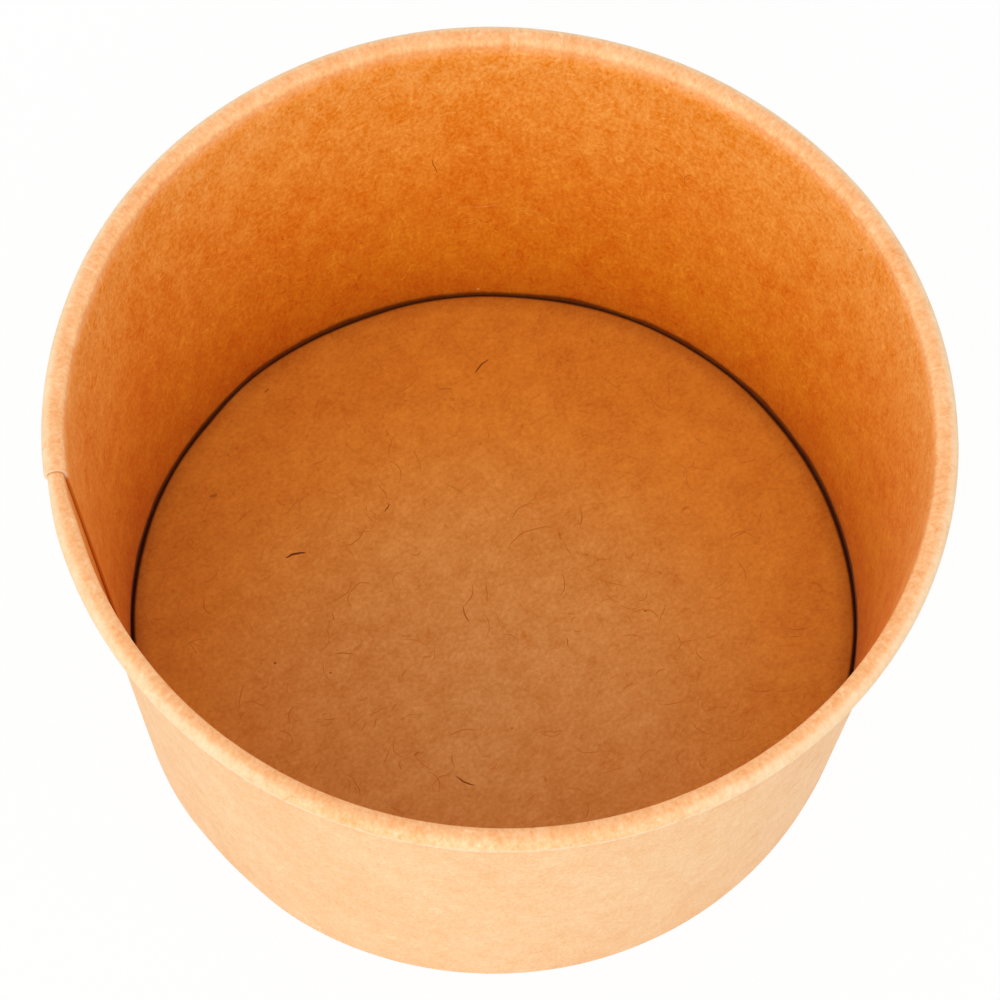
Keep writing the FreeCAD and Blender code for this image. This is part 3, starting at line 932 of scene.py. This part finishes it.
class LaidFlecks(ShapeTree):
    """Geometry Nodes that lay fibres on the disc or round the wall, half sunk in the board.

    Attributes:
        POINTS: How many points a fibre has along it.
        SIDES: How many sides it has.
        BLUNT: How thick its ends stay.
        RIPPLE: How many ripples there are in a millimetre.
        UNREST: How far the ripples move it.
        FLATNESS: How far it stands up, as a share of its half width.
    """

    POINTS = 8
    SIDES = 5
    BLUNT = 0.06
    RIPPLE = 0.9
    UNREST: Triple = (0.5, 0.5, 0.0)
    FLATNESS = 0.16

    def __init__(self, name: str) -> None:
        """Build the tree.

        Args:
            name: The tree's name.
        """
        numbers = ("On wall", "Foot radius", "Lean", "Height", "Side")
        super().__init__(name, numbers, "Fibre")
        self.build()

    def build(self) -> None:
        """Lay the nodes out, from the places of the fibres to the finished fibres."""
        ends = {"Start": (-0.5, 0, 0), "End": (0.5, 0, 0)}
        line = self.node("GeometryNodeCurvePrimitiveLine", ends, mode="POINTS")
        slant = self.read("slant")
        values = {
            "Points": self.given("Geometry"),
            "Instance": self.node("GeometryNodeResampleCurve", {"Curve": line, "Count": self.POINTS}),
            "Rotation": self.vector(0.0, 0.0, slant),
            "Scale": self.vector(self.read("length"), 1.0, 1.0),
        }
        laid = self.node("GeometryNodeInstanceOnPoints", values)
        loose = self.node("GeometryNodeRealizeInstances", {0: laid})
        share = self.node("GeometryNodeSplineParameter", None, "Factor")
        hump = share * (1.0 - share) * 4.0
        sag = hump * self.read("sag")
        aside = self.vector(slant.math("SINE") * (sag * -1.0), slant.math("COSINE") * sag)
        values = {"Scale": self.RIPPLE, "Detail": 1.0}
        ripple = self.node("ShaderNodeTexNoise", values, "Color", noise_dimensions="3D")
        moved = self.vectors("MULTIPLY_ADD", ripple, self.UNREST, aside)
        curved = self.node("GeometryNodeSetPosition", {"Geometry": loose, "Offset": moved})
        radius = self.read("width") * 0.5 * hump.highest(self.BLUNT) ** 0.5
        thick = self.node("GeometryNodeSetCurveRadius", {"Curve": curved, "Radius": radius})
        values = {"Resolution": self.SIDES, "Radius": 1.0}
        ring = self.node("GeometryNodeCurvePrimitiveCircle", values, mode="RADIUS")
        solid = self.tree.nodes.new("GeometryNodeCurveToMesh")
        self.give(solid.inputs["Curve"], thick)
        self.give(solid.inputs["Profile Curve"], ring)
        self.give(solid.inputs["Fill Caps"], True)
        if "Scale" in solid.inputs:
            self.give(solid.inputs["Scale"], self.node("GeometryNodeInputRadius"))
        across, up, rise = self.parts(self.node("GeometryNodeInputPosition"))
        lift = rise * self.FLATNESS
        azimuth = across / ARC_RADIUS
        lean = up.math("MULTIPLY_ADD", self.given("Lean"), self.given("Foot radius"))
        stood = lift.math("MULTIPLY_ADD", self.given("Side"), lean)
        free = self.look_up(azimuth, RIM_WOBBLE) * (up / RIM_HEIGHT)
        swayed = free + self.foot_sway(azimuth, stood, up)
        wall = self.polar(stood + swayed, azimuth, up)
        bearing = up.math("ARCTAN2", across)
        from_axis = across.math("MULTIPLY_ADD", across, up * up).math("SQRT")
        height = self.given("Height")
        pushed = from_axis + self.foot_sway(bearing, from_axis, height)
        flat = self.polar(pushed, bearing, lift + height)
        values = {"Factor": self.given("On wall"), "A": flat, "B": wall}
        where = self.scaled(self.node("ShaderNodeMix", values, data_type="VECTOR"), MM)
        values = {"Geometry": Socket(self, solid.outputs[0]), "Position": where}
        placed = self.node("GeometryNodeSetPosition", values)
        smooth = self.node("GeometryNodeSetShadeSmooth", {"Geometry": placed})
        self.finish(smooth, self.given("Fibre"))

    @staticmethod
    def places(name: str, flecks: list[Fleck]) -> bpy.types.Mesh:
        """Turn a list of fibres into loose points with their facts as attributes.

        Args:
            name: The mesh's name.
            flecks: The fibres.

        Returns:
            The points, in millimetres on the flat sheet.
        """
        made = bpy.data.meshes.new(name)
        made.from_pydata([(item.across, item.up, 0.0) for item in flecks], [], [])
        for label in ("length", "slant", "sag", "width", "tone"):
            stored = made.attributes.new(label, "FLOAT", "POINT")
            for index, item in enumerate(flecks):
                value = getattr(item, label)
                stored.data[index].value = math.radians(value) if label == "slant" else value
        return made


def face_outwards(mesh: bpy.types.Mesh) -> None:
    """Turn a closed mesh's faces outwards where they all point inwards.

    Args:
        mesh: The mesh.
    """
    mesh.calc_loop_triangles()
    volume = 0.0
    for triangle in mesh.loop_triangles:
        a, b, c = (mesh.vertices[index].co for index in triangle.vertices)
        volume += a.dot(b.cross(c))
    if volume < 0:
        mesh.flip_normals()


def join_flecks(board: bpy.types.Object, flecks: bpy.types.Object) -> None:
    """Make the fibres part of the board's own mesh.

    Args:
        board: The piece that takes them in.
        flecks: The fibres, which are gone afterwards.
    """
    both = [board, flecks]
    with bpy.context.temp_override(active_object=board, selected_editable_objects=both):
        bpy.ops.object.join()


@dataclass
class Outline:
    """The closed outline of a sheet in section, walked once round with its facts at each point."""

    points: list[Point] = field(default_factory=list)
    laps: list[Point] = field(default_factory=list)
    layers: list[float] = field(default_factory=list)
    loose: list[float] = field(default_factory=list)
    bends: list[float] = field(default_factory=list)

    def add(self, point: Point, lap: Point, layer: float, loose: float, bend: float = -2.0) -> None:
        """Add a point.

        Args:
            point: Radius and height, in millimetres.
            lap: How far the point moves where the sheet has moved out by one board.
            layer: 0 on the inside face, 1 on the outside face and 2 on a cut edge.
            loose: How much the point follows what is out of round.
            bend: Where it lies round the bead, as a share of half a turn, or on below the bead.
        """
        self.points.append(point)
        self.laps.append(lap)
        self.layers.append(layer)
        self.loose.append(loose)
        self.bends.append(bend)

    def mesh(self, name: str) -> bpy.types.Mesh:
        """Turn the outline into a ring of edges with its facts as attributes.

        Args:
            name: The mesh's name.

        Returns:
            The ring, in metres, with radius along X and height along Y.
        """
        total = len(self.points)
        made = bpy.data.meshes.new(name)
        places = [(x * MM, y * MM, 0.0) for x, y in self.points]
        made.from_pydata(places, [(i, (i + 1) % total) for i in range(total)], [])
        along = [0.0]
        for before, after in zip(self.points, self.points[1:]):
            along.append(along[-1] + math.dist(before, after))
        halves = [min(value, along[-1] - value) for value in along]
        for label, values in (
            ("section", places),
            ("lap", [(x * MM, y * MM, 0.0) for x, y in self.laps]),
            ("layer", self.layers),
            ("along", halves),
            ("loose", self.loose),
            ("bend", self.bends),
        ):
            wide = isinstance(values[0], tuple)
            stored = made.attributes.new(label, "FLOAT_VECTOR" if wide else "FLOAT", "POINT")
            for index, value in enumerate(values):
                setattr(stored.data[index], "vector" if wide else "value", value)
        return made


@dataclass
class TubShape:
    """The sizes that both pieces share, in millimetres and degrees."""

    rim_diameter: float = 115.0
    base_diameter: float = 97.0
    tub_height: float = 68.0
    wall_board: float = 0.4
    base_board: float = 0.4
    bead_bore: float = 2.1
    curl_turn: float = 295.0
    fold_radius: float = 0.3
    floor_height: float = 8.5
    flange_bend: float = 0.5
    flange_gap: float = 0.5
    hem_gap: float = 1.4
    seal_film: float = 0.03
    seam_azimuth: float = 190.0
    seam_lap: float = 8.0
    seam_ramp: float = 9.0

    @property
    def curl(self) -> float:
        """The bead's outer radius."""
        return self.bead_bore / 2 + self.wall_board

    @property
    def curl_centre(self) -> Point:
        """Where the bead's section has its centre."""
        return (self.rim_diameter / 2 - self.curl, self.tub_height - self.curl)

    @property
    def slope(self) -> float:
        """How far the wall leans outwards from upright, in radians."""
        reach = self.curl_centre[0] - self.base_diameter / 2
        rise = self.curl_centre[1]
        return math.atan2(reach, rise) - math.asin(self.bead_bore / 2 / math.hypot(reach, rise))

    @property
    def outward(self) -> Point:
        """The direction square to the wall's outer face, outwards."""
        return (math.cos(self.slope), -math.sin(self.slope))

    def behind_wall(self, inset: float, height: float) -> Point:
        """The point that lies an inset behind the wall's outer face, at a height."""
        radius = self.base_diameter / 2 + height * math.tan(self.slope)
        return (radius - inset / math.cos(self.slope), height)

    def round_the_rim(self, length: float) -> float:
        """How many degrees a length along the rim spans."""
        return math.degrees(length / (self.rim_diameter / 2))


def on_arc(centre: Point, radius: float, angle: float) -> Point:
    """A point on a circle, at an angle in degrees."""
    turned = math.radians(angle)
    return (centre[0] + radius * math.cos(turned), centre[1] + radius * math.sin(turned))


@dataclass(frozen=True)
class WallFace:
    """One face of the wall and its fibres: how many, from what height, how pale and on which side."""

    name: str
    flecks: int
    lowest: float
    palest: float
    side: float
    fibre: PulpFibre


@dataclass
class SideWall:
    """The wrapped sheet: bead, wall, folded foot and hem, lapped in the side seam."""

    shape: TubShape
    steps: int = 736
    wall_rows: int = 24
    curl_rows: int = 26
    fold_rows: int = 5
    free_power: float = 1.4
    bend_room: float = 10.0
    seed: int = 11
    fleck_lengths: Point = (0.7, 3.2)
    fleck_azimuths: Point = (-160.0, 180.0)
    fleck_top: float = 62.0
    fleck_sag: float = 0.22
    fleck_widths: Point = (0.1, 0.17)
    darkest_fleck: float = 0.5
    faces: tuple[WallFace, ...] = (
        WallFace("inside", 110, 12.0, -0.6, -1.0, INSIDE_FIBRE),
        WallFace("outside", 130, 3.0, -0.7, 1.0, OUTSIDE_FIBRE),
    )

    def outline(self) -> Outline:
        """Walk round the board in section, from the fold up the outside face and back inside.

        Returns:
            The outline.
        """
        s = self.shape
        made = Outline()
        board = s.wall_board
        slot = s.base_board + 2 * s.seal_film
        out = (s.outward[0] * board, s.outward[1] * board)
        back = (-out[0], -out[1])
        hem_inset = 2 * board + slot
        hem_top = s.floor_height - s.base_board - s.flange_bend - s.hem_gap
        high = s.curl_centre[1]
        top_angle = 180 - math.degrees(s.slope)

        def free(height: float) -> float:
            return (height / high) ** self.free_power if height > 0 else 0.0

        fold = s.fold_radius
        outer_fold = s.behind_wall(fold, fold)
        inner_fold = s.behind_wall(hem_inset - fold, fold)
        side = math.degrees(-s.slope)
        for step in range(self.fold_rows + 1):
            angle = -90 + (side + 90) * step / self.fold_rows
            made.add(on_arc(outer_fold, fold, angle), (out[0], 0), 1.0, 0.0)
        for row in range(1, self.wall_rows):
            height = fold + (high - fold) * row / self.wall_rows
            made.add(s.behind_wall(0, height), out, 1.0, free(height))
        turns = [top_angle - s.curl_turn * row / self.curl_rows for row in range(self.curl_rows + 1)]
        for angle in turns:
            layer = 2.0 if angle == turns[-1] else 1.0
            inwards = on_arc((0, 0), -board, angle)
            made.add(on_arc(s.curl_centre, s.curl - board, angle), inwards, layer, 1.0)
        for angle in reversed(turns):
            layer = 2.0 if angle == turns[-1] else 0.0
            inwards = on_arc((0, 0), -board, angle)
            made.add(on_arc(s.curl_centre, s.curl, angle), inwards, layer, 1.0, angle / 180)
        for row in range(1, self.wall_rows):
            height = high + (board - high) * row / self.wall_rows
            below = top_angle / 180 + (high - height) / self.bend_room
            made.add(s.behind_wall(board, height), out, 0.0, free(height), below)
        below = top_angle / 180 + high / self.bend_room
        made.add(s.behind_wall(board, board), out, 0.0, 0.0, below)
        made.add(s.behind_wall(board + slot, board), back, 0.0, 0.0)
        hem_end = s.behind_wall(hem_inset, hem_top)
        made.add((hem_end[0] + out[0], hem_end[1] + out[1]), back, 2.0, 0.0)
        made.add(hem_end, back, 2.0, 0.0)
        for step in range(self.fold_rows + 1):
            angle = top_angle + (270 - top_angle) * step / self.fold_rows
            made.add(on_arc(inner_fold, fold, angle), (back[0], 0), 1.0, 0.0)
        return made

    def build(self, board: bpy.types.Material) -> None:
        """Wrap the sheet and let it stand for the plain side wall.

        Args:
            board: The finish.
        """
        s = self.shape
        ramp = s.round_the_rim(s.seam_ramp)
        whole = 360.0 + s.round_the_rim(s.seam_lap)
        tree = TurnedSheet("wrapped_sheet", RIM_WOBBLE, closed=False)
        values = {
            "First azimuth": math.radians(s.seam_azimuth),
            "Turn": -math.radians(whole),
            "Steps": self.steps,
            "Ramp start": (360.0 - ramp) / whole,
            "Ramp end": 360.0 / whole,
            "Board": board,
        }
        piece = tree.make("tub_wall", self.outline().mesh("wall_section"), values)
        self.lay_flecks(piece)
        finish_piece(piece, "side_wall")

    def lay_flecks(self, piece: bpy.types.Object) -> None:
        """Lay fibres on both faces of the wall.

        Args:
            piece: The wrapped sheet.
        """
        s = self.shape
        tree = LaidFlecks("wall_flecks")
        draw = random.Random(self.seed)
        seen = [Fleck(math.radians(row[0]) * ARC_RADIUS, *row[1:]) for row in WALL_FLECKS]
        for face in self.faces:
            inner = face.side < 0
            flecks = seen if inner else []
            for _ in range(face.flecks):
                length = draw.uniform(*self.fleck_lengths)
                tone = draw.uniform(face.palest, self.darkest_fleck)
                across = math.radians(draw.uniform(*self.fleck_azimuths)) * ARC_RADIUS
                up = draw.uniform(face.lowest, self.fleck_top)
                slant = draw.uniform(0.0, 180.0)
                sag = draw.uniform(-self.fleck_sag, self.fleck_sag) * length
                width = draw.uniform(*self.fleck_widths)
                flecks.append(Fleck(across, up, length, slant, sag, width, tone))
            values = {
                "On wall": 1.0,
                "Foot radius": s.behind_wall(s.wall_board if inner else 0.0, 0.0)[0],
                "Lean": math.tan(s.slope),
                "Height": 0.0,
                "Side": face.side,
                "Fibre": face.fibre.make(),
            }
            places = tree.places(f"{face.name}_places", flecks)
            join_flecks(piece, tree.make(f"{face.name}_flecks", places, values))


@dataclass
class BaseDisc:
    """The raised floor, with its edge turned down between the wall and the hem.

    Its bend follows the facets, and its turned end is held by the hem and keeps a little of them.
    """

    shape: TubShape
    steps: int = 720
    rows: int = 30
    bend_rows: int = 7
    seed: int = 4
    flecks: int = 220
    fleck_reach: float = 43.5
    fleck_lengths: Point = (0.8, 4.2)
    fleck_sag: float = 0.28
    fleck_widths: Point = (0.09, 0.15)
    fleck_tones: Point = (0.04, 0.27)
    held: float = 0.1

    def outline(self) -> Outline:
        """Walk round the disc in section, out along its top and back along its underside.

        Returns:
            The outline.
        """
        s = self.shape
        made = Outline()
        still = (0, 0)
        board = s.base_board
        bend = s.flange_bend + board
        top = s.floor_height
        inset = s.wall_board + s.seal_film
        centre = s.behind_wall(inset + bend, top - bend)
        side = math.degrees(-s.slope)
        end = s.behind_wall(inset, s.wall_board + s.flange_gap)
        for row in range(self.rows):
            radius = centre[0] * row / self.rows
            made.add((radius, top), still, 0.0, 0.0 if row < self.rows - 1 else 0.5)
        for row in range(self.bend_rows + 1):
            share = row / self.bend_rows
            loose = 1.0 - (1 - self.held) * share
            made.add(on_arc(centre, bend, 90 + (side - 90) * share), still, 0.0, loose)
        made.add(end, still, 2.0, 0.0)
        made.add((end[0] - s.outward[0] * board, end[1] - s.outward[1] * board), still, 2.0, 0.0)
        for row in range(self.bend_rows + 1):
            share = row / self.bend_rows
            angle = side + (90 - side) * share
            loose = self.held + (1 - self.held) * share
            made.add(on_arc(centre, bend - board, angle), still, 1.0, loose)
        for row in range(self.rows):
            radius = centre[0] * (1 - (row + 1) / self.rows)
            made.add((radius, top - board), still, 1.0, 0.0)
        return made

    def build(self, board: bpy.types.Material) -> None:
        """Turn the disc and let it stand for the plain one, with no ramp in its one turn.

        Args:
            board: The finish.
        """
        tree = TurnedSheet("turned_disc", DISC_FACETS, closed=True)
        values = {
            "First azimuth": 0.0,
            "Turn": math.tau,
            "Steps": self.steps,
            "Ramp start": 2.0,
            "Ramp end": 3.0,
            "Board": board,
        }
        piece = tree.make("tub_floor", self.outline().mesh("disc_section"), values)
        self.lay_flecks(piece)
        finish_piece(piece, "base_disc")

    def lay_flecks(self, piece: bpy.types.Object) -> None:
        """Lay fibres on the disc's top.

        Args:
            piece: The disc.
        """
        tree = LaidFlecks("floor_flecks")
        draw = random.Random(self.seed)
        flecks = [Fleck(*row) for row in FLOOR_FLECKS]
        for _ in range(self.flecks):
            length = draw.uniform(*self.fleck_lengths)
            out = self.fleck_reach * math.sqrt(draw.random())
            azimuth = draw.uniform(0.0, math.tau)
            east, north = out * math.cos(azimuth), out * math.sin(azimuth)
            slant = draw.uniform(0.0, 180.0)
            sag = draw.uniform(-self.fleck_sag, self.fleck_sag) * length
            width = draw.uniform(*self.fleck_widths)
            tone = draw.uniform(*self.fleck_tones)
            flecks.append(Fleck(east, north, length, slant, sag, width, tone))
        values = {
            "On wall": 0.0,
            "Foot radius": 0.0,
            "Lean": 0.0,
            "Height": self.shape.floor_height,
            "Side": 1.0,
            "Fibre": FLOOR_FIBRE.make(),
        }
        join_flecks(piece, tree.make("top_flecks", tree.places("floor_places", flecks), values))


def finish_piece(piece: bpy.types.Object, node: str) -> None:
    """Let a piece ride on the tub and stand for a plain solid, and report it.

    Args:
        piece: The piece.
        node: The solid that it stands for.
    """
    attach(piece, "root")
    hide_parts(node)
    piece.data.calc_loop_triangles()
    LOG.info("%s: %d triangles, stands for %s", piece.name, len(piece.data.loop_triangles), node)


@dataclass
class Studio:
    """A white table and sweep under soft light, and the camera of the photograph.

    The camera's sizes are pixels of the photograph, metres and degrees.
    """

    focal_pixels: float = 5254.0
    picture_pixels: float = 1000.0
    distance: float = 0.6583
    elevation: float = 64.49
    roll: float = 2.49
    aim_pixel: Point = (500.7, 424.4)
    aim_height: float = 0.06655
    table_half: float = 3.0
    table_grey: Colour = (0.9, 0.9, 0.9, 1.0)
    table_glow: float = 0.95
    sky: float = 0.875
    key_power: float = 3.3
    key_size: float = 0.8
    key_place: Triple = (-0.24, -0.64, 0.78)
    key_aim: Triple = (0.0, 0.0, 0.03)

    def camera(self) -> None:
        """Place the camera where the photograph was taken from."""
        rise = math.radians(self.elevation)
        tilt = math.radians(self.roll)
        back = Vector((0, -math.cos(rise), math.sin(rise)))
        right = Vector((1, 0, 0))
        up = back.cross(right)
        turned_right = right * math.cos(tilt) + up * math.sin(tilt)
        turned_up = up * math.cos(tilt) - right * math.sin(tilt)
        half = self.picture_pixels / 2
        across = (self.aim_pixel[0] - half) / self.focal_pixels * self.distance
        down = (self.aim_pixel[1] - half) / self.focal_pixels * self.distance
        place = back * self.distance - turned_right * across + turned_up * down
        place += Vector((0, 0, self.aim_height))
        data = bpy.data.cameras.new("camera")
        data.sensor_width = 36.0
        data.sensor_fit = "HORIZONTAL"
        data.lens = self.focal_pixels / self.picture_pixels * data.sensor_width
        data.clip_start = 0.01
        data.clip_end = 20.0
        camera = bpy.data.objects.new("camera", data)
        turned = Matrix((turned_right, turned_up, back)).transposed().to_4x4()
        camera.matrix_world = Matrix.Translation(place) @ turned
        bpy.context.scene.collection.objects.link(camera)
        bpy.context.scene.camera = camera

    def table(self) -> None:
        """Lay a white table that keeps a faint shadow."""
        data = bpy.data.meshes.new("table")
        side = self.table_half
        corners = [(-side, -side, 0), (side, -side, 0), (side, side, 0), (-side, side, 0)]
        data.from_pydata(corners, [], [(0, 1, 2, 3)])
        table = bpy.data.objects.new("table", data)
        bpy.context.scene.collection.objects.link(table)
        material = bpy.data.materials.new("white_table")
        graph = Graph.of(material)
        seen, glossy = (
            graph.node("ShaderNodeLightPath", None, f"Is {kind} Ray") for kind in ("Camera", "Glossy")
        )
        matt = graph.node("ShaderNodeBsdfDiffuse", {"Color": self.table_grey, "Roughness": 0.0})
        bright = graph.node("ShaderNodeEmission", {"Color": WHITE})
        share = seen.highest(glossy) * self.table_glow
        mixed = graph.node("ShaderNodeMixShader", {0: share, 1: matt, 2: bright})
        graph.node("ShaderNodeOutputMaterial", {"Surface": mixed})
        data.materials.append(material)

    def light(self) -> None:
        """Surround the tub with soft white light and one large soft lamp in front of it."""
        world = bpy.data.worlds.new("studio")
        bpy.context.scene.world = world
        graph = Graph.of(world)
        seen, glossy, through = (
            graph.node("ShaderNodeLightPath", None, f"Is {kind} Ray")
            for kind in ("Camera", "Glossy", "Transmission")
        )
        sky = graph.node("ShaderNodeBackground", {"Color": WHITE, "Strength": self.sky})
        plain = graph.node("ShaderNodeBackground", {"Color": WHITE})
        share = seen.highest(glossy.highest(through))
        mixed = graph.node("ShaderNodeMixShader", {0: share, 1: sky, 2: plain})
        graph.node("ShaderNodeOutputWorld", {"Surface": mixed})
        lamp_data = bpy.data.lights.new("softbox", "AREA")
        lamp_data.shape = "DISK"
        lamp_data.size = self.key_size
        lamp_data.energy = self.key_power
        lamp = bpy.data.objects.new("softbox", lamp_data)
        place = Vector(self.key_place)
        lamp.location = place
        lamp.rotation_euler = (place - Vector(self.key_aim)).to_track_quat("Z", "Y").to_euler()
        bpy.context.scene.collection.objects.link(lamp)


def main() -> None:
    """Build the tub and its studio."""
    logging.basicConfig(level=logging.INFO, format="%(name)s: %(message)s", stream=sys.stdout)
    bpy.context.scene.view_settings.view_transform = "Standard"
    shape = TubShape()
    wall_board = WallKraft("kraft_wall_board", Grain.UPRIGHT, outside=(0.93, 0.555, 0.264, 1.0))
    base_board = FloorKraft("kraft_base_board", Grain.ACROSS, outside=(0.74, 0.42, 0.17, 1.0))
    SideWall(shape).build(wall_board.make())
    BaseDisc(shape).build(base_board.make())
    studio = Studio()
    studio.camera()
    studio.table()
    studio.light()


if __name__ == "__main__":
    main()
